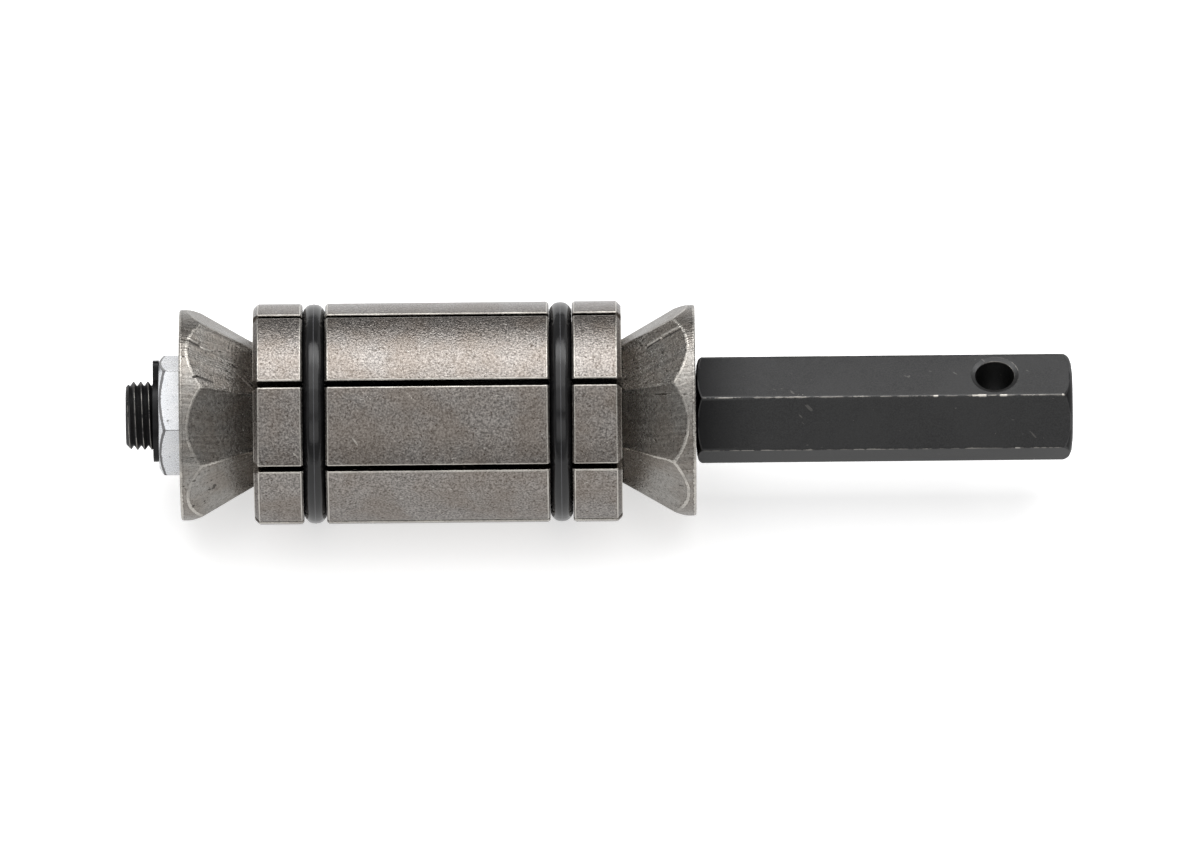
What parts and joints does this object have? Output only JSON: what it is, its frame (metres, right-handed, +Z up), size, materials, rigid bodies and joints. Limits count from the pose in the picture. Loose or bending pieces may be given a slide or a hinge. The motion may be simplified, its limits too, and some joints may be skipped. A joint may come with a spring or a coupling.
{
  "type": "exhaust pipe expander",
  "caption": "Exhaust pipe expander: segment jaws on two faceted cones drawn together by a hex-shank screw, held by rubber rings.",
  "frame": {"origin": "on the screw's axis, at mid-length of the closed jaws", "axes": "+X along the screw towards the hex shank, +Z up with one jaw straight above the screw and one straight below"},
  "size_m": [0.166, 0.0386, 0.0386],
  "materials": {
    "jaw_steel": "satin pressed steel",
    "cone_steel": "rough milled steel",
    "zinc_plate": "bright zinc plate",
    "black_oxide": "black oxide",
    "spring_steel": "blackened spring steel",
    "rubber": "smooth black rubber"
  },
  "bodies": {
    "drive_cone": {"drive_end_cone": "cone_steel"},
    "screw": {"drive_screw": "black_oxide", "retaining_circlip": "spring_steel"},
    "nut_cone": {"nut_end_cone": "cone_steel", "draw_nut": "zinc_plate"},
    "jaw_1_slider": {"jaw_1": "jaw_steel"},
    "jaw_2_slider": {"jaw_2": "jaw_steel"},
    "jaw_3_slider": {"jaw_3": "jaw_steel"},
    "jaw_4_slider": {"jaw_4": "jaw_steel"},
    "jaw_5_slider": {"jaw_5": "jaw_steel"},
    "jaw_6_slider": {"jaw_6": "jaw_steel"},
    "jaw_7_slider": {"jaw_7": "jaw_steel"},
    "jaw_8_slider": {"jaw_8": "jaw_steel"},
    "rings": {"nut_end_ring": "rubber", "drive_end_ring": "rubber"}
  },
  "joints": [
    {"name": "screw_turn", "type": "hinge", "parent": "drive_cone", "child": "screw", "pos_m": [0, 0, 0], "axis": [-1, 0, 0], "range_deg": [0, 12096]},
    {"name": "nut_cone_travel", "type": "slide", "parent": "drive_cone", "child": "nut_cone", "axis": [1, 0, 0], "range_m": [0, 0.042]},
    {"name": "jaw_1_spread", "type": "slide", "parent": "drive_cone", "child": "jaw_1_slider", "axis": [0.8746, 0, 0.4848], "range_m": [0, 0.02401]},
    {"name": "jaw_2_spread", "type": "slide", "parent": "drive_cone", "child": "jaw_2_slider", "axis": [0.8746, -0.3428, 0.3428], "range_m": [0, 0.02401]},
    {"name": "jaw_3_spread", "type": "slide", "parent": "drive_cone", "child": "jaw_3_slider", "axis": [0.8746, -0.4848, 0], "range_m": [0, 0.02401]},
    {"name": "jaw_4_spread", "type": "slide", "parent": "drive_cone", "child": "jaw_4_slider", "axis": [0.8746, -0.3428, -0.3428], "range_m": [0, 0.02401]},
    {"name": "jaw_5_spread", "type": "slide", "parent": "drive_cone", "child": "jaw_5_slider", "axis": [0.8746, 0, -0.4848], "range_m": [0, 0.02401]},
    {"name": "jaw_6_spread", "type": "slide", "parent": "drive_cone", "child": "jaw_6_slider", "axis": [0.8746, 0.3428, -0.3428], "range_m": [0, 0.02401]},
    {"name": "jaw_7_spread", "type": "slide", "parent": "drive_cone", "child": "jaw_7_slider", "axis": [0.8746, 0.4848, 0], "range_m": [0, 0.02401]},
    {"name": "jaw_8_spread", "type": "slide", "parent": "drive_cone", "child": "jaw_8_slider", "axis": [0.8746, 0.3428, 0.3428], "range_m": [0, 0.02401]},
    {"name": "ring_travel", "type": "slide", "parent": "drive_cone", "child": "rings", "axis": [1, 0, 0], "range_m": [0, 0.021], "deforming": ["nut_end_ring", "drive_end_ring"]}
  ],
  "couplings": [
    {"joint": "screw_turn", "follows": "nut_cone_travel", "rad_per_m": 5026.5},
    {"joint": "jaw_1_spread", "follows": "nut_cone_travel", "ratio": 0.57168},
    {"joint": "jaw_2_spread", "follows": "nut_cone_travel", "ratio": 0.57168},
    {"joint": "jaw_3_spread", "follows": "nut_cone_travel", "ratio": 0.57168},
    {"joint": "jaw_4_spread", "follows": "nut_cone_travel", "ratio": 0.57168},
    {"joint": "jaw_5_spread", "follows": "nut_cone_travel", "ratio": 0.57168},
    {"joint": "jaw_6_spread", "follows": "nut_cone_travel", "ratio": 0.57168},
    {"joint": "jaw_7_spread", "follows": "nut_cone_travel", "ratio": 0.57168},
    {"joint": "jaw_8_spread", "follows": "nut_cone_travel", "ratio": 0.57168},
    {"joint": "ring_travel", "follows": "nut_cone_travel", "ratio": 0.5}
  ]
}
